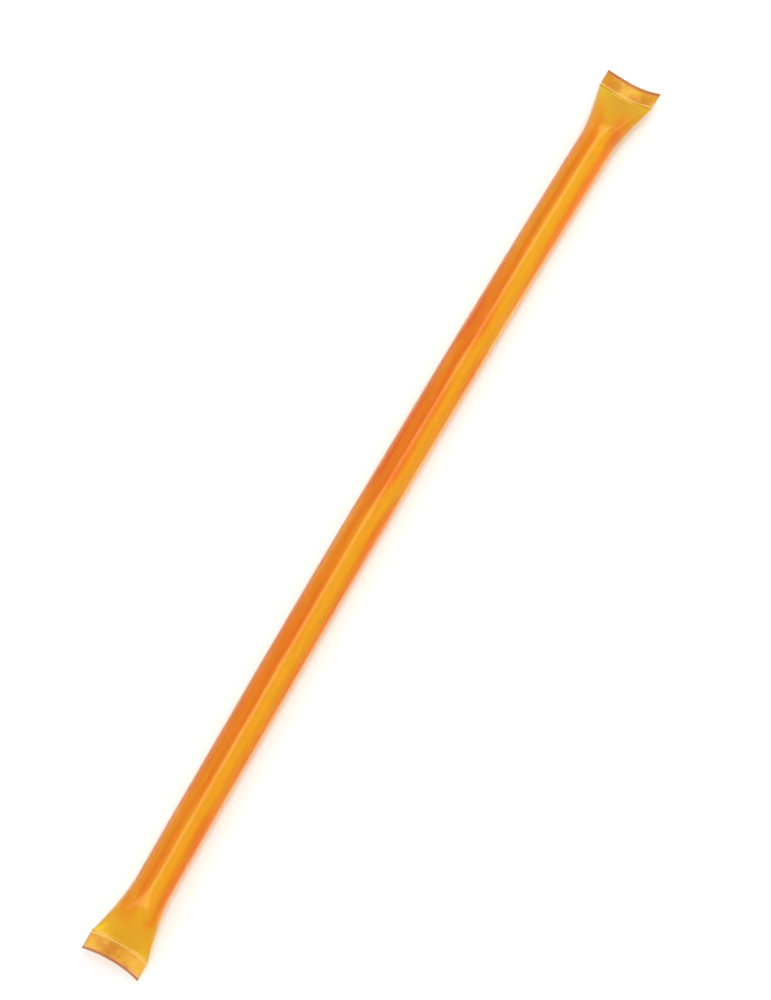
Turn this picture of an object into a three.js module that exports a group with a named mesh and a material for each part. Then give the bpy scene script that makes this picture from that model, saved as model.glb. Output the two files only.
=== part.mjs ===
// Honey stick: a clear straw filled with honey, pressed flat and welded shut at both ends.
// It lies on its side along X, on the narrow flat where the soft straw settles. Millimetres, +Z up.
// The origin is on that flat, under the middle of the stick.
import * as THREE from "three";
import { mergeVertices } from "three/addons/utils/BufferGeometryUtils.js";

// Driving dimensions
const LENGTH = 165; // from the corners of one cut end to the corners of the other
const DIAMETER = 6.35; // of the round straw
const FILM = 0.2; // wall of the straw
const WELD = 3.2; // length of the flat welded band at each end
const TAPER = 9.5; // from the weld to the full round
const FULLNESS = 1.5; // how fast the honey fills the straw out past the weld
const END_HOLLOW = 0.6; // how far the middle of a cut end lies behind its corners
const WELD_WAVE = 0.18; // height of the ripple that the heat leaves across a weld
const BOW = 0.9; // sideways bend of the stick at its middle
const ROLL_LEFT = 6; // degrees that the weld at -X is turned out of level
const ROLL_RIGHT = -5; // degrees that the weld at +X is turned out of level
const SETTLE = 15; // degrees to each side of the lowest line that settle onto the floor

// Fineness of the faceted surface
const SIDES = 48;
const WELD_STEPS = 3;
const TAPER_STEPS = 14;
const BODY_STEPS = 12;

// Worked out from the dimensions above
const RADIUS = DIAMETER / 2;
const HALF = LENGTH / 2;
const QUARTER_TURN = Math.PI / 2;
const WELD_HALF_WIDTH = QUARTER_TURN * (RADIUS - FILM) + FILM;
const AXIS_HEIGHT = RADIUS * Math.cos(THREE.MathUtils.degToRad(SETTLE));

// Where the rings of the surface lie along X, closer together in the shaped ends.
function ringPlaces() {
  const body = LENGTH - 2 * (WELD + TAPER);
  const zones = [
    [WELD, WELD_STEPS],
    [TAPER, TAPER_STEPS],
    [body, BODY_STEPS],
    [TAPER, TAPER_STEPS],
    [WELD, WELD_STEPS],
  ];
  const places = [-HALF];
  let start = -HALF;
  for (const [length, steps] of zones) {
    for (let step = 1; step <= steps; step++) {
      places.push(start + (length * step) / steps);
    }
    start += length;
  }
  return places;
}

// How far a ring lies past the weld, from 0 on the weld to 1 on the round straw.
function pastWeld(x) {
  const fromEnd = HALF - Math.abs(x);
  return THREE.MathUtils.clamp((fromEnd - WELD) / TAPER, 0, 1);
}

// Half the thickness of the stick at a ring: two films on the weld, the full radius past the taper.
function halfThickness(x) {
  const filled = 1 - Math.pow(1 - pastWeld(x), FULLNESS);
  return THREE.MathUtils.lerp(FILM, RADIUS, filled);
}

// A point of the flattened straw's section. The film can't stretch, so the round straw's girth is
// kept: the section is two flats joined by half circles whose radius is half the thickness.
// The angle runs from the middle of the upper side, positive towards +Y.
function pressedSection(angle, half) {
  const flat = QUARTER_TURN * (RADIUS - half);
  const turn = Math.abs(angle);
  const upper = turn <= QUARTER_TURN;
  const arc = RADIUS * (upper ? turn : Math.PI - turn);
  const bend = Math.max(arc - flat, 0) / half;
  const y = Math.min(arc, flat) + half * Math.sin(bend);
  const z = half * Math.cos(bend);
  return new THREE.Vector2(Math.sign(angle) * y, upper ? z : -z);
}

// The place of a point of the stick, from its ring, its angle and its share of the way out
// from the axis: 1 on the film and 0 at the middle of a cut end.
function stickPoint(x, angle, share) {
  const half = halfThickness(x);
  const nearWeld = Math.pow(1 - pastWeld(x), 2);
  const section = pressedSection(angle, half).multiplyScalar(share);
  const across = section.x / WELD_HALF_WIDTH;
  section.y += WELD_WAVE * nearWeld * Math.sin(Math.PI * across);
  const roll = x < 0 ? ROLL_LEFT : ROLL_RIGHT;
  section.rotateAround(new THREE.Vector2(), THREE.MathUtils.degToRad(roll * nearWeld));
  const drawnIn = END_HOLLOW * nearWeld * (1 - across * across);
  const bow = BOW * (1 - (x / HALF) ** 2);
  return new THREE.Vector3(
    x - Math.sign(x) * drawnIn,
    section.x + bow,
    Math.max(section.y + AXIS_HEIGHT, 0),
  );
}

// A closed cylinder whose rings are moved to their places and pressed to their sections,
// then set with the origin under the middle of its box.
function stickGeometry() {
  const places = ringPlaces();
  const steps = places.length - 1;
  const blank = new THREE.CylinderGeometry(1, 1, steps, SIDES, steps);
  blank.deleteAttribute("normal");
  blank.deleteAttribute("uv");
  const geometry = mergeVertices(blank);
  const position = geometry.getAttribute("position");
  const point = new THREE.Vector3();
  for (let i = 0; i < position.count; i++) {
    point.fromBufferAttribute(position, i);
    const ring = Math.round(steps / 2 - point.y);
    const angle = Math.atan2(point.x, point.z);
    const share = Math.min(Math.round(Math.hypot(point.x, point.z)), 1);
    const { x, y, z } = stickPoint(places[ring], angle, share);
    position.setXYZ(i, x, y, z);
  }
  geometry.computeBoundingBox();
  const { min, max } = geometry.boundingBox;
  geometry.translate(0, -(min.y + max.y) / 2, 0);
  geometry.computeVertexNormals();
  return geometry;
}

function stick() {
  const amber = new THREE.MeshStandardMaterial({ color: 0xe08a1e, roughness: 0.22, metalness: 0 });
  const mesh = new THREE.Mesh(stickGeometry(), amber);
  mesh.name = "honey_stick";
  return mesh;
}

const part = new THREE.Group();
part.add(stick());

export default part;
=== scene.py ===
"""Honey stick: a clear straw filled with amber honey, welded flat at both ends.

The add-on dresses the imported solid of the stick. It makes the film of the straw, the honey inside it and
a plain stage. All sizes are in metres, in the frame of the solid: +X along the stick, +Z up.
"""

import math

import bmesh
import bpy
from mathutils import Matrix, Vector


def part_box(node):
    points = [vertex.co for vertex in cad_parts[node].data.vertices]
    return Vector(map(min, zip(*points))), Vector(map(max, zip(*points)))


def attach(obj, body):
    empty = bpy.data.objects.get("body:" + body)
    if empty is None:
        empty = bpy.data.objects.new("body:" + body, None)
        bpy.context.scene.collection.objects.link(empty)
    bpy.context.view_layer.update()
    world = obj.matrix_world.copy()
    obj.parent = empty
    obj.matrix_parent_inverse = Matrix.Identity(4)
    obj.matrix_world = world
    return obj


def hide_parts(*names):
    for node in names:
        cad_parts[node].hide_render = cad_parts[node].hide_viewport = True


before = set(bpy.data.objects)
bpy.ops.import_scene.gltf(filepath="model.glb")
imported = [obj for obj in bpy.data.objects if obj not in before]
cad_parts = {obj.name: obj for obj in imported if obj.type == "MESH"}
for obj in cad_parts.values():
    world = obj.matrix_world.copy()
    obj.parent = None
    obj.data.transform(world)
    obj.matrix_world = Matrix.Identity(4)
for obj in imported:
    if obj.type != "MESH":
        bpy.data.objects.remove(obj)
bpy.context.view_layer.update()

bl_info = {
    "name": "Honey Stick",
    "version": (1, 0, 0),
    "blender": (4, 5, 0),
    "location": "View3D > Sidebar > Honey Stick",
    "description": "Makes a straw of honey with welded ends, and a plain stage for it",
    "category": "Add Mesh",
}

NODE = "honey_stick"
BODY = "root"
LOW, HIGH = (Vector(corner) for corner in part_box(NODE))
SETTLE_ANGLE = math.radians(15)  # how far round, to each side, the straw has settled onto the floor

# Fineness of the tubes
SIDES = 96
HALF_BODY_STEPS = 36
TAPER_STEPS = 26
BEAD_STEPS = 10
WELD_STEPS = 6

# Shaping of the tubes
SAME_RING = 1e-5  # points closer than this along X lie in one ring
LEAST_HALF = 1e-5  # half the height of the flattest ring
HOLLOW_SIZE = 0.011  # of the soft hollows along the filled straw
SMOOTH_ANGLE = math.radians(38)  # sharper edges stay crisp

# Places of a Mix node's colour sockets, which share their names with its other sockets
MIX_FIRST, MIX_SECOND, MIX_RESULT = 6, 7, 2

# Fine lines along the straw and slow patches on it
LINE_SCALE, LINE_DETAIL = 1500.0, 2.0
PATCH_SCALE, PATCH_DETAIL = 380.0, 4.0
FILM_LINE_SHARE = 0.012  # width of a line as a share of its length
HONEY_LINE_SHARE = 0.02

# Masks of the welded ends
WELD_BLUR = 0.0002  # to each side of the line where a weld starts
# The brown line along a cut end is painted shade, where the cut edge bends light away
CUT_EDGE_SHADE_REACH, CUT_EDGE_SHADE_FULL = 0.0006, 0.00025  # from the cut, where its brown line ends and is full
BLOTCH_START, BLOTCH_FULL = 0.36, 0.60  # values of the patches where caught honey starts and is full

# Clear film: the share of each finish that shows, and the gloss; its rim shows as a painted sheen, its cut
# edge as painted shade and its bead with a painted highlight
HAZE_SHOWN = 0.02
RIM_SHEEN_SHOWN, RIM_SHEEN_POWER = 0.35, 4.0
WELD_SHOWN, BLOTCH_SHOWN = 0.32, 0.22
BEAD_HIGHLIGHT_SHOWN = 0.45
CUT_EDGE_SHADE_SHOWN = 0.85
FILM_IOR = 1.49
FILM_ROUGHNESS, WELD_ROUGHENING = 0.14, 0.16
FILM_BUMP, FILM_BUMP_DEPTH = 0.5, 0.00004
BLOTCH_RELIEF = 1.6  # height of the caught honey, against the fine lines

# Inner face of the film
WETTED_SHOWN = 0.01
WETTED_IOR = 1.01
WETTED_ROUGHNESS = 0.3

# Paler streaks of painted light along the honey, with deeper bands of painted shade between them: turn from
# upright, reach to each side as a share of the radius, strength
PAINTED_LIGHT_STREAKS = (
    (math.radians(-12), 0.62, 1.0),
    (math.radians(42), 0.34, 0.5),
    (math.radians(85), 0.45, 0.95),
)
PAINTED_STREAK_CORE = 0.1  # share of the radius, to each side, that is palest
DRIFT_SCALE, DRIFT_DETAIL = 45.0, 1.0  # of the streaks' slow drift from side to side
# Fine streaks of painted light follow the fine lines
FINE_START, FINE_FULL = 0.68, 0.35  # values of the fine lines where fine streaks start and are full
BROAD_SHARE, FINE_SHARE = 0.8, 0.2

# Honey
HONEY_CLARITY = 0.86  # share of the light that goes through it unscattered
HONEY_IOR = 1.49
HONEY_GLOSS = 0.45
HONEY_ROUGHNESS, PATCH_ROUGHENING = 0.08, 0.08
HONEY_BUMP, HONEY_BUMP_DEPTH = 0.35, 0.00003

# Floor
FLOOR_SIZE = 6
FLOOR_GRAIN_SCALE, FLOOR_GRAIN_DETAIL = 9.0, 2.0
FLOOR_GRAIN_LIFT = 1.02  # how much paler the pale patches are
FLOOR_ROUGHNESS = 0.85

# Soft boxes of the stage: where each hangs, and its length and width
KEY_PLACE, KEY_SIZE = Vector((-0.50, 0.45, 0.40)), (0.50, 0.42)
FILL_PLACE, FILL_SIZE = Vector((0.55, -0.45, 0.25)), (0.40, 0.30)
TOP_PLACE, TOP_SIZE = Vector((0.10, 0.0, 0.65)), (1.30, 0.24)

# Camera and light paths
SENSOR_HEIGHT = 36  # millimetres
CLIP_START = 0.01
LIGHT_BOUNCES = 32


class StickSizes(bpy.types.PropertyGroup):
    """Sizes of the straw and its welded ends."""

    length: bpy.props.FloatProperty(
        name="Length",
        description="From the corners of one cut end to the corners of the other",
        default=HIGH.x - LOW.x,
        unit="LENGTH",
    )
    radius: bpy.props.FloatProperty(
        name="Radius",
        description="Outer radius of the round straw",
        default=(HIGH.z - LOW.z) / (1 + math.cos(SETTLE_ANGLE)),
        unit="LENGTH",
    )
    film: bpy.props.FloatProperty(
        name="Film",
        description="Thickness of the straw's wall",
        default=0.0002,
        unit="LENGTH",
    )
    weld: bpy.props.FloatProperty(
        name="Weld",
        description="Length of the flat welded band at each end",
        default=0.0032,
        unit="LENGTH",
    )
    taper: bpy.props.FloatProperty(
        name="Taper",
        description="Length over which the straw fills out from the weld to its full round",
        default=0.0095,
        unit="LENGTH",
    )
    fullness: bpy.props.FloatProperty(
        name="Fullness",
        description="How fast the honey fills the straw out past the weld",
        default=1.5,
    )
    end_hollow: bpy.props.FloatProperty(
        name="End Hollow",
        description="How far the middle of a cut end lies behind its corners",
        default=0.0006,
        unit="LENGTH",
    )
    ripple: bpy.props.FloatProperty(
        name="Ripple",
        description="Height of the ripple that the heat leaves across a weld",
        default=0.00018,
        unit="LENGTH",
    )
    bow: bpy.props.FloatProperty(
        name="Bow",
        description="Sideways bend of the stick at its middle",
        default=0.0009,
        unit="LENGTH",
    )
    left_roll: bpy.props.FloatProperty(
        name="Left Roll",
        description="Turn of the weld at -X out of level",
        default=math.radians(6),
        subtype="ANGLE",
    )
    right_roll: bpy.props.FloatProperty(
        name="Right Roll",
        description="Turn of the weld at +X out of level",
        default=math.radians(-5),
        subtype="ANGLE",
    )
    bead: bpy.props.FloatProperty(
        name="Bead",
        description="Height of the ridge of squeezed film across the inner side of a weld",
        default=0.0001,
        unit="LENGTH",
    )
    bead_width: bpy.props.FloatProperty(
        name="Bead Width",
        description="How far the bead reaches to each side of its own line",
        default=0.00022,
        unit="LENGTH",
    )
    unevenness: bpy.props.FloatProperty(
        name="Unevenness",
        description="Depth of the soft hollows along the filled straw",
        default=0.00005,
        unit="LENGTH",
    )
    honey_reach: bpy.props.FloatProperty(
        name="Honey Reach",
        description="How far the honey reaches into the wall, so that no gap shows",
        default=0.00005,
        unit="LENGTH",
    )
    honey_margin: bpy.props.FloatProperty(
        name="Honey Margin",
        description="How far the honey that is caught in a weld stays back from its cut end",
        default=0.0005,
        unit="LENGTH",
    )


class StickColours(bpy.types.PropertyGroup):
    """Colours of the honey, the film and the floor."""

    honey: bpy.props.FloatVectorProperty(
        name="Honey",
        description="Colour that the honey keeps of the light that crosses it",
        default=(1.0, 0.94, 0.05),
        size=3,
        subtype="COLOR",
    )
    honey_depth: bpy.props.FloatProperty(
        name="Honey Depth",
        description="How strongly the honey colours light, for each metre that it crosses",
        default=220.0,
    )
    # Painted light: the paler streaks stand in for light that the round honey gathers and bends
    honey_painted_light: bpy.props.FloatVectorProperty(
        name="Honey Painted Light",
        description="Tint of the paler streaks along the honey",
        default=(1.0, 0.76, 0.035),
        size=3,
        subtype="COLOR",
    )
    # Painted shade: the deeper bands stand in for shade beside the gathered light
    honey_painted_shade: bpy.props.FloatVectorProperty(
        name="Honey Painted Shade",
        description="Tint of the honey beside its paler streaks",
        default=(1.0, 0.19, 0.015),
        size=3,
        subtype="COLOR",
    )
    honey_thin: bpy.props.FloatVectorProperty(
        name="Thin Honey",
        description="Tint of the thin honey beside a weld",
        default=(1.0, 0.68, 0.035),
        size=3,
        subtype="COLOR",
    )
    # Shows in the film's haze and, at its rim, as a painted sheen
    film: bpy.props.FloatVectorProperty(
        name="Film",
        description="Colour of the clear film where light catches it",
        default=(0.82, 0.44, 0.08),
        size=3,
        subtype="COLOR",
    )
    weld: bpy.props.FloatVectorProperty(
        name="Weld",
        description="Colour of the cloudy welded films",
        default=(0.90, 0.42, 0.05),
        size=3,
        subtype="COLOR",
    )
    residue: bpy.props.FloatVectorProperty(
        name="Residue",
        description="Colour of the honey that is caught in blotches between the welded films",
        default=(0.66, 0.22, 0.02),
        size=3,
        subtype="COLOR",
    )
    # Painted shade: the brown line along a cut end
    cut_edge_shade: bpy.props.FloatVectorProperty(
        name="Cut Edge Shade",
        description="Colour of the thin brown line along a cut end",
        default=(0.46, 0.12, 0.004),
        size=3,
        subtype="COLOR",
    )
    # The bead is a real ridge of squeezed film; its pale line is a painted highlight
    bead: bpy.props.FloatVectorProperty(
        name="Bead",
        description="Colour of the thin light line along the inner side of a weld",
        default=(0.97, 0.70, 0.30),
        size=3,
        subtype="COLOR",
    )
    gloss: bpy.props.FloatVectorProperty(
        name="Gloss",
        description="Tint of the light that the film and the honey throw straight back",
        default=(1.0, 0.80, 0.45),
        size=3,
        subtype="COLOR",
    )
    floor: bpy.props.FloatVectorProperty(
        name="Floor",
        description="Colour of the floor",
        default=(0.92, 0.92, 0.915),
        size=3,
        subtype="COLOR",
    )


class StickStage(bpy.types.PropertyGroup):
    """How the stick is lit and seen."""

    elevation: bpy.props.FloatProperty(
        name="Elevation",
        description="Height of the camera above the floor, as an angle",
        default=math.radians(76),
        subtype="ANGLE",
    )
    lean: bpy.props.FloatProperty(
        name="Lean",
        description="How far the stick leans to the right of upright in the picture",
        default=math.radians(30),
        subtype="ANGLE",
    )
    lens: bpy.props.FloatProperty(
        name="Lens",
        description="Focal length, in millimetres",
        default=75.0,
    )
    filled: bpy.props.FloatProperty(
        name="Filled",
        description="Share of the picture's height that the stick fills",
        default=0.88,
        subtype="FACTOR",
    )
    sky: bpy.props.FloatProperty(
        name="Sky",
        description="Strength of the even light from all round",
        default=0.75,
    )
    key: bpy.props.FloatProperty(
        name="Key Light",
        description="Power of the soft box beyond the end at -X",
        default=1.2,
        unit="POWER",
    )
    fill: bpy.props.FloatProperty(
        name="Fill Light",
        description="Power of the low soft box beyond the end at +X",
        default=0.7,
        unit="POWER",
    )
    top: bpy.props.FloatProperty(
        name="Top Light",
        description="Power of the long narrow soft box overhead, which the round honey gathers",
        default=2.7,
        unit="POWER",
    )


def past_weld(sizes, x):
    """How far a ring lies past the weld, from 0 on the weld to 1 on the round straw."""
    from_end = sizes.length / 2 - abs(x)
    return min(max((from_end - sizes.weld) / sizes.taper, 0.0), 1.0)


def near_weld(sizes, x):
    """How much of the weld's own shape a ring has: 1 on the weld, fading to 0 along the taper."""
    return (1 - past_weld(sizes, x)) ** 2


def half_thickness(sizes, x):
    """Half the height of the straw at a ring: two films on the weld, the full radius past the taper."""
    filled = 1 - (1 - past_weld(sizes, x)) ** sizes.fullness
    return sizes.film + (sizes.radius - sizes.film) * filled


def half_width(sizes, x):
    """Half the width of the straw at a ring. Film can't stretch, so a flatter ring is wider."""
    half = half_thickness(sizes, x)
    return math.pi / 2 * (sizes.radius - half) + half


def axis_height(sizes):
    """Height of the straw's axis over the floor that it has settled onto."""
    return sizes.radius * math.cos(SETTLE_ANGLE)


def weld_line(sizes):
    """Where a weld meets the filled straw, from the middle."""
    return sizes.length / 2 - sizes.weld


def bead_line(sizes):
    """Where the bead of a weld lies, from the middle."""
    return weld_line(sizes) + 2 * sizes.bead_width


def bead_height(sizes, x):
    """How far the bead of squeezed film stands up at a ring."""
    return sizes.bead * math.exp(-(((abs(x) - bead_line(sizes)) / sizes.bead_width) ** 2))


def evenly(start, end, steps):
    """Places from start to end, without start itself."""
    return [start + (end - start) * (step + 1) / steps for step in range(steps)]


def ring_places(sizes, end):
    """Where a tube's rings lie along X, closer together in the shaped ends."""
    inner = weld_line(sizes) - sizes.taper
    right = evenly(0, inner, HALF_BODY_STEPS) + evenly(inner, weld_line(sizes), TAPER_STEPS)
    if end > weld_line(sizes):
        past_bead = bead_line(sizes) + 2 * sizes.bead_width
        right += evenly(weld_line(sizes), past_bead, BEAD_STEPS) + evenly(past_bead, end, WELD_STEPS)
    return [-x for x in reversed(right)] + [0.0] + right


def select_points(test):
    """Selects the points of the mesh that is being edited whose place passes the test."""
    mesh = bpy.context.edit_object.data
    points = bmesh.from_edit_mesh(mesh)
    for point in points.verts:
        point.select_set(test(point.co))
    points.select_flush(True)
    points.select_flush(False)
    bmesh.update_edit_mesh(mesh, loop_triangles=False, destructive=False)


def press_ring(sizes, x, inset):
    """Presses one ring of a tube between two level jaws, then turns it with its weld."""
    height = axis_height(sizes)
    radius = sizes.radius - inset
    half = max(half_thickness(sizes, x) - inset, LEAST_HALF)
    if inset == 0:
        half += bead_height(sizes, x)
    wide = half_width(sizes, x) - inset
    # The ring becomes an oval that is still too tall, so that the jaws leave flats on it
    tall = math.sqrt(half * radius)
    select_points(lambda co: abs(co.x - x) < SAME_RING)
    bpy.ops.transform.resize(
        value=(1, wide / radius, tall / radius), center_override=(x, 0, height)
    )
    for side in (1, -1):
        select_points(
            lambda co: abs(co.x - x) < SAME_RING and side * (co.z - height) > half
        )
        bpy.ops.transform.resize(value=(1, 1, 0), center_override=(x, 0, height + side * half))
    roll = sizes.left_roll if x < 0 else sizes.right_roll
    select_points(lambda co: abs(co.x - x) < SAME_RING)
    bpy.ops.transform.rotate(
        value=-roll * near_weld(sizes, x), orient_axis="X", center_override=(x, 0, height)
    )


def pressed_tube(sizes, name, inset, end):
    """Adds a closed tube, ring by ring, and presses its ends flat.

    Inset is how deep the tube lies under the straw's outer face.
    """
    places = ring_places(sizes, end)
    bpy.ops.object.select_all(action="DESELECT")
    bpy.ops.mesh.primitive_circle_add(
        vertices=SIDES,
        radius=sizes.radius - inset,
        location=(places[0], 0, axis_height(sizes)),
        rotation=(0, math.pi / 2, 0),
    )
    bpy.ops.object.transform_apply(location=True, rotation=True, scale=True)
    tube = bpy.context.object
    tube.name = name
    bpy.ops.object.mode_set(mode="EDIT")
    bpy.ops.mesh.select_mode(type="VERT")
    bpy.ops.mesh.select_all(action="SELECT")
    for here, there in zip(places, places[1:]):
        bpy.ops.mesh.extrude_region_move(TRANSFORM_OT_translate={"value": (there - here, 0, 0)})
    for x in places:
        if past_weld(sizes, x) < 1:
            press_ring(sizes, x, inset)
    for x in (places[0], places[-1]):
        select_points(lambda co: abs(co.x - x) < SAME_RING)
        bpy.ops.mesh.fill(use_beauty=True)
    bpy.ops.mesh.select_all(action="SELECT")
    bpy.ops.mesh.normals_make_consistent(inside=False)
    bpy.ops.object.mode_set(mode="OBJECT")
    return tube


def push(tube, name, direction, distance, share):
    """Moves a tube's points along one direction, each by its share of the distance."""
    group = tube.vertex_groups.new(name=name)
    for point in tube.data.vertices:
        group.add([point.index], share(point.co), "REPLACE")
    bpy.ops.object.modifier_add(type="DISPLACE")
    change = tube.modifiers[-1]
    change.name = name
    change.direction = direction
    change.mid_level = 0
    change.strength = distance
    change.vertex_group = group.name
    bpy.ops.object.modifier_apply(modifier=name)
    tube.vertex_groups.remove(tube.vertex_groups[name])


def make_uneven(tube, depth):
    """Gives a filled tube the soft hollows and swellings that a squeezed straw has."""
    name = "soft_hollows"
    clouds = bpy.data.textures.get(name)
    if clouds is None:
        clouds = bpy.data.textures.new(name, "CLOUDS")
        clouds.noise_scale = HOLLOW_SIZE
        clouds.noise_depth = 1
    bpy.ops.object.modifier_add(type="DISPLACE")
    change = tube.modifiers[-1]
    change.name = name
    change.texture = clouds
    change.texture_coords = "LOCAL"
    change.direction = "NORMAL"
    change.mid_level = 0.5
    change.strength = depth
    bpy.ops.object.modifier_apply(modifier=name)


def shape_ends_and_bow(sizes, tube):
    """Ripples a tube's welds, draws in the middle of its cut ends and bends it slightly sideways."""
    half = sizes.length / 2
    edge = half_width(sizes, half)

    def wave(co):
        return near_weld(sizes, co.x) * math.sin(math.pi * max(min(co.y / edge, 1), -1))

    def hollow(co):
        return near_weld(sizes, co.x) * max(1 - (co.y / edge) ** 2, 0)

    def bend(x):
        return 1 - (x / half) ** 2

    push(tube, "ripple_up", "Z", sizes.ripple, lambda co: max(wave(co), 0))
    push(tube, "ripple_down", "Z", -sizes.ripple, lambda co: max(-wave(co), 0))
    push(tube, "left_hollow", "X", sizes.end_hollow, lambda co: hollow(co) * (co.x < 0))
    push(tube, "right_hollow", "X", -sizes.end_hollow, lambda co: hollow(co) * (co.x > 0))
    push(tube, "bow", "Y", sizes.bow, lambda co: max(bend(co.x), 0))
    centred = sizes.bow * bend(weld_line(sizes)) / 2
    push(tube, "centred", "Y", -centred, lambda co: 1.0)


def settle(tube):
    """Flattens what a tube has below the floor onto the floor."""
    bpy.ops.object.mode_set(mode="EDIT")
    select_points(lambda co: co.z < LOW.z)
    bpy.ops.transform.resize(value=(1, 1, 0), center_override=(0, 0, LOW.z))
    bpy.ops.object.mode_set(mode="OBJECT")


def add_node(tree, kind, inputs=None, **settings):
    """Adds a node with its settings, and gives its inputs their values or links."""
    made = tree.nodes.new(kind)
    for name, value in settings.items():
        setattr(made, name, value)
    for key, value in (inputs or {}).items():
        if isinstance(value, bpy.types.NodeSocket):
            tree.links.new(value, made.inputs[key])
        else:
            made.inputs[key].default_value = value
    return made


def calculate(tree, operation, *values):
    """A Math node's result."""
    node = add_node(tree, "ShaderNodeMath", dict(enumerate(values)), operation=operation)
    return node.outputs[0]


def fade(tree, value, start, end):
    """A mask that goes smoothly from 0 where the value is at start to 1 where it is at end."""
    node = add_node(
        tree,
        "ShaderNodeMapRange",
        {"Value": value, "From Min": start, "From Max": end},
        interpolation_type="SMOOTHSTEP",
    )
    return node.outputs["Result"]


def blend(tree, share, first, second):
    """A colour between two colours."""
    node = add_node(tree, "ShaderNodeMix", {"Factor": share}, data_type="RGBA")
    for place, colour in ((MIX_FIRST, first), (MIX_SECOND, second)):
        if isinstance(colour, bpy.types.NodeSocket):
            tree.links.new(colour, node.inputs[place])
        else:
            node.inputs[place].default_value = (*colour, 1)
    return node.outputs[MIX_RESULT]


def new_group(name, inputs, outputs):
    """An empty shader group with named number inputs, each with its default, and number outputs."""
    group = bpy.data.node_groups.new(name, "ShaderNodeTree")
    for socket, default in inputs.items():
        made = group.interface.new_socket(socket, in_out="INPUT", socket_type="NodeSocketFloat")
        made.default_value = default
    for socket in outputs:
        group.interface.new_socket(socket, in_out="OUTPUT", socket_type="NodeSocketFloat")
    return group, group.nodes.new("NodeGroupInput"), group.nodes.new("NodeGroupOutput")


def stick_ends_group(sizes):
    """Masks that follow the welded ends: the weld, the painted shade along its cut edge, its bead with a
    painted highlight along it, and the thin honey beside it.
    """
    name = "Stick Ends"
    if name in bpy.data.node_groups:
        return bpy.data.node_groups[name]
    group, given, result = new_group(
        name,
        {"Half Length": sizes.length / 2, "Weld": sizes.weld, "Taper": sizes.taper},
        ("Weld", "Cut Edge Shade", "Bead", "Thin Honey"),
    )
    place = add_node(group, "ShaderNodeTexCoord")
    axes = add_node(group, "ShaderNodeSeparateXYZ", {0: place.outputs["Object"]})
    along = calculate(group, "ABSOLUTE", axes.outputs["X"])
    from_end = calculate(group, "SUBTRACT", given.outputs["Half Length"], along)
    weld = given.outputs["Weld"]
    inside = calculate(group, "ADD", weld, WELD_BLUR)
    outside = calculate(group, "SUBTRACT", weld, WELD_BLUR)
    across = calculate(group, "DIVIDE", axes.outputs["Y"], half_width(sizes, sizes.length / 2))
    drawn = calculate(group, "SUBTRACT", 1.0, calculate(group, "MULTIPLY", across, across))
    from_cut = calculate(
        group, "SUBTRACT", from_end, calculate(group, "MULTIPLY", drawn, sizes.end_hollow)
    )
    round_line = calculate(group, "ADD", weld, given.outputs["Taper"])
    from_bead = calculate(group, "SUBTRACT", from_cut, sizes.length / 2 - bead_line(sizes))
    from_bead = calculate(group, "ABSOLUTE", from_bead)
    masks = {
        "Weld": fade(group, from_end, inside, outside),
        "Cut Edge Shade": fade(group, from_cut, CUT_EDGE_SHADE_REACH, CUT_EDGE_SHADE_FULL),
        "Bead": fade(group, from_bead, sizes.bead_width, 0.0),
        "Thin Honey": fade(group, from_end, round_line, weld),
    }
    for mask, value in masks.items():
        group.links.new(value, result.inputs[mask])
    return group


def drawn_lines_group():
    """Fine lines along the straw, left by the die that it was drawn through, and its slow unevenness."""
    name = "Drawn Lines"
    if name in bpy.data.node_groups:
        return bpy.data.node_groups[name]
    group, given, result = new_group(
        name, {"Line Scale": LINE_SCALE, "Line Share": FILM_LINE_SHARE}, ("Lines", "Patches")
    )
    place = add_node(group, "ShaderNodeTexCoord")
    scale = add_node(
        group,
        "ShaderNodeCombineXYZ",
        {"X": given.outputs["Line Share"], "Y": 1.0, "Z": 1.0},
    )
    stretched = add_node(
        group,
        "ShaderNodeVectorMath",
        {0: place.outputs["Object"], 1: scale.outputs[0]},
        operation="MULTIPLY",
    )
    lines = add_node(
        group,
        "ShaderNodeTexNoise",
        {"Vector": stretched.outputs[0], "Scale": given.outputs["Line Scale"], "Detail": LINE_DETAIL},
    )
    patches = add_node(
        group,
        "ShaderNodeTexNoise",
        {"Vector": place.outputs["Object"], "Scale": PATCH_SCALE, "Detail": PATCH_DETAIL},
    )
    group.links.new(lines.outputs[0], result.inputs["Lines"])
    group.links.new(patches.outputs[0], result.inputs["Patches"])
    return group


def new_material(name):
    """An empty node material with its output."""
    material = bpy.data.materials.new(name)
    material.use_nodes = True
    material.node_tree.nodes.clear()
    return material, material.node_tree, material.node_tree.nodes.new("ShaderNodeOutputMaterial")


def place_group(tree, group, values=None):
    """A group placed in a material, with its own values where they are given."""
    return add_node(tree, "ShaderNodeGroup", values, node_tree=group)


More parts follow.
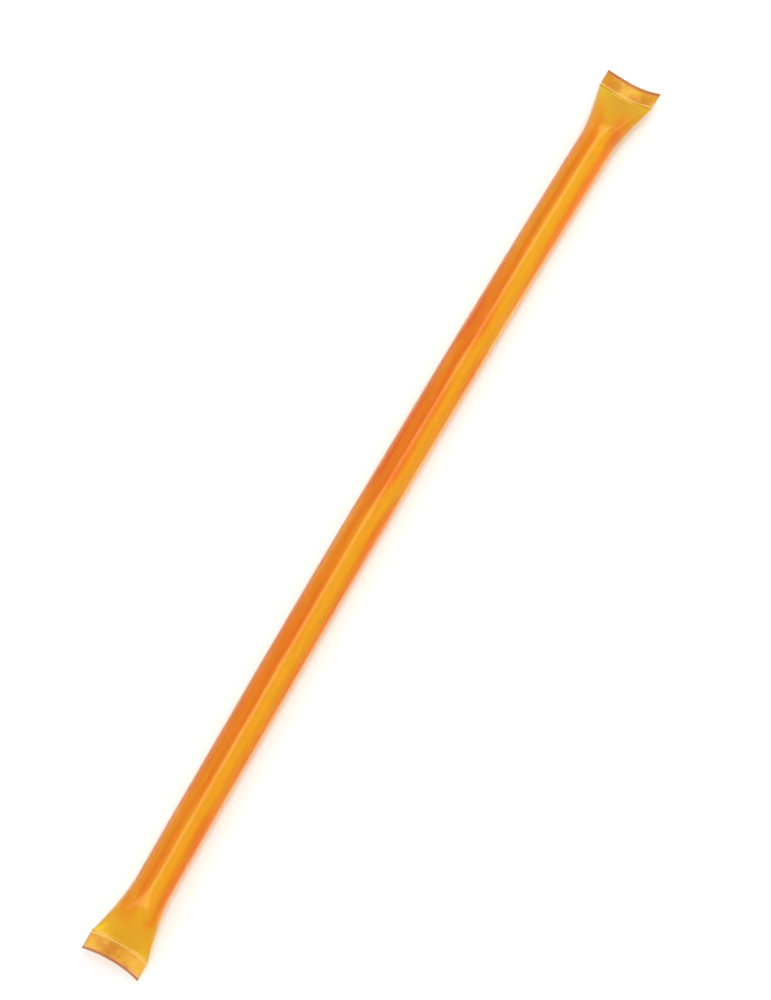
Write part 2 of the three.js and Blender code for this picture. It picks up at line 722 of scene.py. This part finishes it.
def film_shown(tree, ends, drawn, blotches):
    """How much of the clear film shows: a trace of haze, a painted sheen along its rim, and the cloudy
    welds with painted shade along their cut edges and a painted highlight along their beads.
    """
    rim = add_node(tree, "ShaderNodeLayerWeight")
    side = add_node(tree, "ShaderNodeNewGeometry")
    outer = calculate(tree, "SUBTRACT", 1.0, side.outputs["Backfacing"])
    # Painted sheen: the film's colour shows more where its outer face is seen edge-on
    edge = calculate(tree, "POWER", rim.outputs["Facing"], RIM_SHEEN_POWER)
    edge = calculate(tree, "MULTIPLY", calculate(tree, "MULTIPLY", edge, RIM_SHEEN_SHOWN), outer)
    haze = calculate(tree, "MULTIPLY", drawn.outputs["Lines"], HAZE_SHOWN)
    pressed = calculate(tree, "MULTIPLY_ADD", blotches, BLOTCH_SHOWN, WELD_SHOWN)
    cloudy = calculate(tree, "MULTIPLY", ends.outputs["Weld"], pressed)
    # The bead's pale line is a painted highlight, the cut edge's brown line painted shade
    thick = calculate(tree, "MULTIPLY", ends.outputs["Bead"], BEAD_HIGHLIGHT_SHOWN)
    thick = calculate(tree, "MULTIPLY_ADD", ends.outputs["Cut Edge Shade"], CUT_EDGE_SHADE_SHOWN, thick)
    shown = calculate(tree, "MAXIMUM", calculate(tree, "ADD", haze, cloudy), thick)
    return calculate(tree, "MAXIMUM", shown, edge)


def film_material(sizes, colours):
    """Clear film: it shows at its rim as a painted sheen, and on the welds, which hold a little honey, with
    painted shade along their cut edges and a painted highlight along their beads.
    """
    material, tree, output = new_material("clear_film")
    ends = place_group(tree, stick_ends_group(sizes))
    drawn = place_group(tree, drawn_lines_group())
    weld = ends.outputs["Weld"]
    blotches = fade(tree, drawn.outputs["Patches"], BLOTCH_START, BLOTCH_FULL)
    caught = calculate(tree, "MULTIPLY", weld, blotches)
    pressed_tint = blend(tree, blotches, colours.weld, colours.residue)
    tint = blend(tree, weld, colours.film, pressed_tint)
    # Painted highlight along the bead
    tint = blend(tree, ends.outputs["Bead"], tint, colours.bead)
    # Painted shade along the cut edge
    tint = blend(tree, ends.outputs["Cut Edge Shade"], tint, colours.cut_edge_shade)
    height = calculate(tree, "MULTIPLY_ADD", caught, BLOTCH_RELIEF, drawn.outputs["Lines"])
    bump = add_node(
        tree,
        "ShaderNodeBump",
        {"Strength": FILM_BUMP, "Distance": FILM_BUMP_DEPTH, "Height": height},
    )
    shader = add_node(
        tree,
        "ShaderNodeBsdfPrincipled",
        {
            "Base Color": tint,
            "Roughness": calculate(tree, "MULTIPLY_ADD", weld, WELD_ROUGHENING, FILM_ROUGHNESS),
            "IOR": FILM_IOR,
            "Specular Tint": (*colours.gloss, 1),
            "Alpha": film_shown(tree, ends, drawn, blotches),
            "Normal": bump.outputs[0],
        },
    )
    tree.links.new(shader.outputs[0], output.inputs["Surface"])
    return material


def wetted_film_material(colours):
    """The film's inner face. Honey bends light as the film does, so the wetted face hardly shows."""
    material, tree, output = new_material("wetted_film")
    drawn = place_group(tree, drawn_lines_group())
    shader = add_node(
        tree,
        "ShaderNodeBsdfPrincipled",
        {
            "Base Color": (*colours.film, 1),
            "Roughness": WETTED_ROUGHNESS,
            "IOR": WETTED_IOR,
            "Alpha": calculate(tree, "MULTIPLY", drawn.outputs["Lines"], WETTED_SHOWN),
        },
    )
    tree.links.new(shader.outputs[0], output.inputs["Surface"])
    return material


def painted_light_streaks(tree, sizes, lines):
    """A mask of painted light along the honey: paler streaks of painted light, with deeper bands of painted
    shade between them, which wander a little from side to side.
    """
    place = add_node(tree, "ShaderNodeTexCoord")
    axes = add_node(tree, "ShaderNodeSeparateXYZ", {0: place.outputs["Object"]})
    up = calculate(tree, "SUBTRACT", axes.outputs["Z"], axis_height(sizes))
    slow = add_node(
        tree,
        "ShaderNodeTexNoise",
        {"W": axes.outputs["X"], "Scale": DRIFT_SCALE, "Detail": DRIFT_DETAIL},
        noise_dimensions="1D",
    )
    drift = calculate(tree, "MULTIPLY_ADD", slow.outputs[0], sizes.radius, -sizes.radius / 2)
    fine = fade(tree, lines, FINE_START, FINE_FULL)
    broad = 0.0
    for turn, reach, strength in PAINTED_LIGHT_STREAKS:
        aside = calculate(tree, "MULTIPLY_ADD", axes.outputs["Y"], math.cos(turn), drift)
        aside = calculate(tree, "MULTIPLY_ADD", up, -math.sin(turn), aside)
        off_line = calculate(tree, "ABSOLUTE", aside)
        streak = fade(tree, off_line, reach * sizes.radius, PAINTED_STREAK_CORE * sizes.radius)
        broad = calculate(tree, "MAXIMUM", broad, calculate(tree, "MULTIPLY", streak, strength))
    fine = calculate(tree, "MULTIPLY", fine, FINE_SHARE)
    return calculate(tree, "MULTIPLY_ADD", broad, BROAD_SHARE, fine)


def honey_material(sizes, colours):
    """Clear amber honey, coloured by its depth, with paler streaks of painted light and deeper bands of
    painted shade in its tint, and the straw's fine lines in its gloss.
    """
    material, tree, output = new_material("amber_honey")
    drawn = place_group(tree, drawn_lines_group(), {"Line Share": HONEY_LINE_SHARE})
    ends = place_group(tree, stick_ends_group(sizes))
    streaks = painted_light_streaks(tree, sizes, drawn.outputs["Lines"])
    # Painted light and shade: paler streaks and deeper bands in the honey's tint
    tint = blend(tree, streaks, colours.honey_painted_shade, colours.honey_painted_light)
    tint = blend(tree, ends.outputs["Thin Honey"], tint, colours.honey_thin)
    patches = drawn.outputs["Patches"]
    bump = add_node(
        tree,
        "ShaderNodeBump",
        {"Strength": HONEY_BUMP, "Distance": HONEY_BUMP_DEPTH, "Height": drawn.outputs["Lines"]},
    )
    shader = add_node(
        tree,
        "ShaderNodeBsdfPrincipled",
        {
            "Base Color": tint,
            "Roughness": calculate(tree, "MULTIPLY_ADD", patches, PATCH_ROUGHENING, HONEY_ROUGHNESS),
            "IOR": HONEY_IOR,
            "Specular IOR Level": HONEY_GLOSS,
            "Specular Tint": (*colours.gloss, 1),
            "Transmission Weight": HONEY_CLARITY,
            "Normal": bump.outputs[0],
        },
    )
    depth = add_node(
        tree,
        "ShaderNodeVolumeAbsorption",
        {"Color": (*colours.honey, 1), "Density": colours.honey_depth},
    )
    tree.links.new(shader.outputs[0], output.inputs["Surface"])
    tree.links.new(depth.outputs[0], output.inputs["Volume"])
    return material


def hand_over(piece):
    """Shades a finished piece smooth, attaches it to the body that it rides on, and hides the imported
    part.
    """
    bpy.ops.object.shade_smooth_by_angle(angle=SMOOTH_ANGLE)
    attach(piece, BODY)
    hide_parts(NODE)


class StrawFilm(bpy.types.Operator):
    """Make the clear film of the straw, with its hollow and its welded ends"""

    bl_idname = "honey_stick.straw_film"
    bl_label = "Straw Film"
    bl_options = {"REGISTER", "UNDO"}

    def execute(self, context):
        sizes = context.scene.honey_stick_sizes
        colours = context.scene.honey_stick_colours
        hollow = pressed_tube(sizes, "straw_hollow", sizes.film, weld_line(sizes))
        make_uneven(hollow, sizes.unevenness)
        shape_ends_and_bow(sizes, hollow)
        bpy.ops.object.mode_set(mode="EDIT")
        bpy.ops.mesh.select_all(action="SELECT")
        bpy.ops.mesh.flip_normals()
        bpy.ops.object.mode_set(mode="OBJECT")
        hollow.data.materials.append(wetted_film_material(colours))
        film = pressed_tube(sizes, "straw_film", 0.0, sizes.length / 2)
        make_uneven(film, sizes.unevenness)
        shape_ends_and_bow(sizes, film)
        settle(film)
        film.data.materials.append(film_material(sizes, colours))
        hollow.select_set(True)
        bpy.ops.object.join()
        hand_over(film)
        return {"FINISHED"}


class HoneyFill(bpy.types.Operator):
    """Make the honey that fills the straw from weld to weld"""

    bl_idname = "honey_stick.honey_fill"
    bl_label = "Honey"
    bl_options = {"REGISTER", "UNDO"}

    def execute(self, context):
        sizes = context.scene.honey_stick_sizes
        colours = context.scene.honey_stick_colours
        depth = sizes.film - sizes.honey_reach
        end = sizes.length / 2 - sizes.honey_margin
        honey = pressed_tube(sizes, "honey_fill", depth, end)
        make_uneven(honey, sizes.unevenness)
        shape_ends_and_bow(sizes, honey)
        honey.data.materials.append(honey_material(sizes, colours))
        hand_over(honey)
        return {"FINISHED"}


def floor_material(colours):
    """Pale matt floor with a faint unevenness."""
    material, tree, output = new_material("pale_floor")
    place = add_node(tree, "ShaderNodeTexCoord")
    grain = add_node(
        tree,
        "ShaderNodeTexNoise",
        {
            "Vector": place.outputs["Object"],
            "Scale": FLOOR_GRAIN_SCALE,
            "Detail": FLOOR_GRAIN_DETAIL,
        },
    )
    paler = [min(channel * FLOOR_GRAIN_LIFT, 1) for channel in colours.floor]
    shade = blend(tree, grain.outputs[0], colours.floor, paler)
    shader = add_node(
        tree, "ShaderNodeBsdfPrincipled", {"Base Color": shade, "Roughness": FLOOR_ROUGHNESS}
    )
    tree.links.new(shader.outputs[0], output.inputs["Surface"])
    return material


def lay_floor(colours):
    """Lays the floor under the stick."""
    bpy.ops.object.select_all(action="DESELECT")
    bpy.ops.mesh.primitive_plane_add(size=FLOOR_SIZE, location=(0, 0, LOW.z))
    floor = bpy.context.object
    floor.name = "floor"
    floor.data.materials.append(floor_material(colours))


def facing(place, target, side):
    """The turn that points an object's -Z from a place to a target, with its X along the given side."""
    back = (place - target).normalized()
    right = (side - side.dot(back) * back).normalized()
    return Matrix((right, back.cross(right), back)).transposed().to_euler()


def hang_soft_box(name, place, target, size, power):
    """Hangs an area light that faces the target, with its long side along the stick."""
    turn = facing(place, target, Vector((1, 0, 0)))
    bpy.ops.object.light_add(type="AREA", location=place, rotation=turn)
    lamp = bpy.context.object
    lamp.name = name
    lamp.data.shape = "RECTANGLE"
    lamp.data.size, lamp.data.size_y = size
    lamp.data.energy = power


def light_sky(scene, strength):
    """Gives the scene even white light from all round."""
    sky = bpy.data.worlds.new("soft_sky")
    sky.use_nodes = True
    light = sky.node_tree.nodes["Background"]
    light.inputs["Color"].default_value = (1, 1, 1, 1)
    light.inputs["Strength"].default_value = strength
    scene.world = sky


def set_camera(scene, stage, middle):
    """Sets the camera above the stick, turned so that the stick leans to the right in the picture."""
    upward = Vector((math.cos(stage.lean), math.sin(stage.lean), 0))
    rightward = Vector((upward.y, -upward.x, 0))
    seen_length = (HIGH.x - LOW.x) * math.cos(stage.lean) * math.sin(stage.elevation)
    half_field = math.atan(SENSOR_HEIGHT / 2 / stage.lens)
    distance = seen_length / stage.filled / 2 / math.tan(half_field)
    away = -upward * math.cos(stage.elevation) + Vector((0, 0, math.sin(stage.elevation)))
    place = middle + away * distance
    bpy.ops.object.camera_add(location=place, rotation=facing(place, middle, rightward))
    camera = bpy.context.object
    camera.name = "camera"
    camera.data.sensor_fit = "VERTICAL"
    camera.data.sensor_height = SENSOR_HEIGHT
    camera.data.lens = stage.lens
    camera.data.clip_start = CLIP_START
    scene.camera = camera


class StudioStage(bpy.types.Operator):
    """Make the floor, the soft light and the camera"""

    bl_idname = "honey_stick.studio_stage"
    bl_label = "Stage"
    bl_options = {"REGISTER", "UNDO"}

    def execute(self, context):
        scene = context.scene
        stage = scene.honey_stick_stage
        middle = (LOW + HIGH) / 2
        lay_floor(scene.honey_stick_colours)
        hang_soft_box("key_light", KEY_PLACE, middle, KEY_SIZE, stage.key)
        hang_soft_box("fill_light", FILL_PLACE, middle, FILL_SIZE, stage.fill)
        hang_soft_box("top_light", TOP_PLACE, middle, TOP_SIZE, stage.top)
        light_sky(scene, stage.sky)
        set_camera(scene, stage, middle)
        scene.view_settings.view_transform = "Standard"
        # Light crosses many faces inside the thin wedges, which go dark with fewer bounces
        scene.cycles.max_bounces = LIGHT_BOUNCES
        scene.cycles.glossy_bounces = LIGHT_BOUNCES
        scene.cycles.transmission_bounces = LIGHT_BOUNCES
        scene.cycles.transparent_max_bounces = LIGHT_BOUNCES
        return {"FINISHED"}


class HoneyStickPanel(bpy.types.Panel):
    """The stick's steps and settings"""

    bl_idname = "VIEW3D_PT_honey_stick"
    bl_label = "Honey Stick"
    bl_space_type = "VIEW_3D"
    bl_region_type = "UI"
    bl_category = "Honey Stick"

    def draw(self, context):
        for step in STEPS:
            self.layout.operator(step.bl_idname)
        for settings in GROUPS:
            box = self.layout.box()
            values = getattr(context.scene, settings)
            for name in values.bl_rna.properties.keys():
                if name not in ("rna_type", "name"):
                    box.prop(values, name)


STEPS = (StrawFilm, HoneyFill, StudioStage)
GROUPS = {
    "honey_stick_sizes": StickSizes,
    "honey_stick_colours": StickColours,
    "honey_stick_stage": StickStage,
}
CLASSES = (*GROUPS.values(), *STEPS, HoneyStickPanel)


def register():
    """Registers the classes, and gives each scene its settings."""
    for cls in CLASSES:
        bpy.utils.register_class(cls)
    for name, cls in GROUPS.items():
        setattr(bpy.types.Scene, name, bpy.props.PointerProperty(type=cls))


def unregister():
    """Takes the settings and the classes away again."""
    for name in GROUPS:
        delattr(bpy.types.Scene, name)
    for cls in reversed(CLASSES):
        bpy.utils.unregister_class(cls)


def main():
    """Makes the dressed stick and its stage, step by step."""
    register()
    bpy.ops.honey_stick.straw_film()
    bpy.ops.honey_stick.honey_fill()
    bpy.ops.honey_stick.studio_stage()


if __name__ == "__main__":
    main()
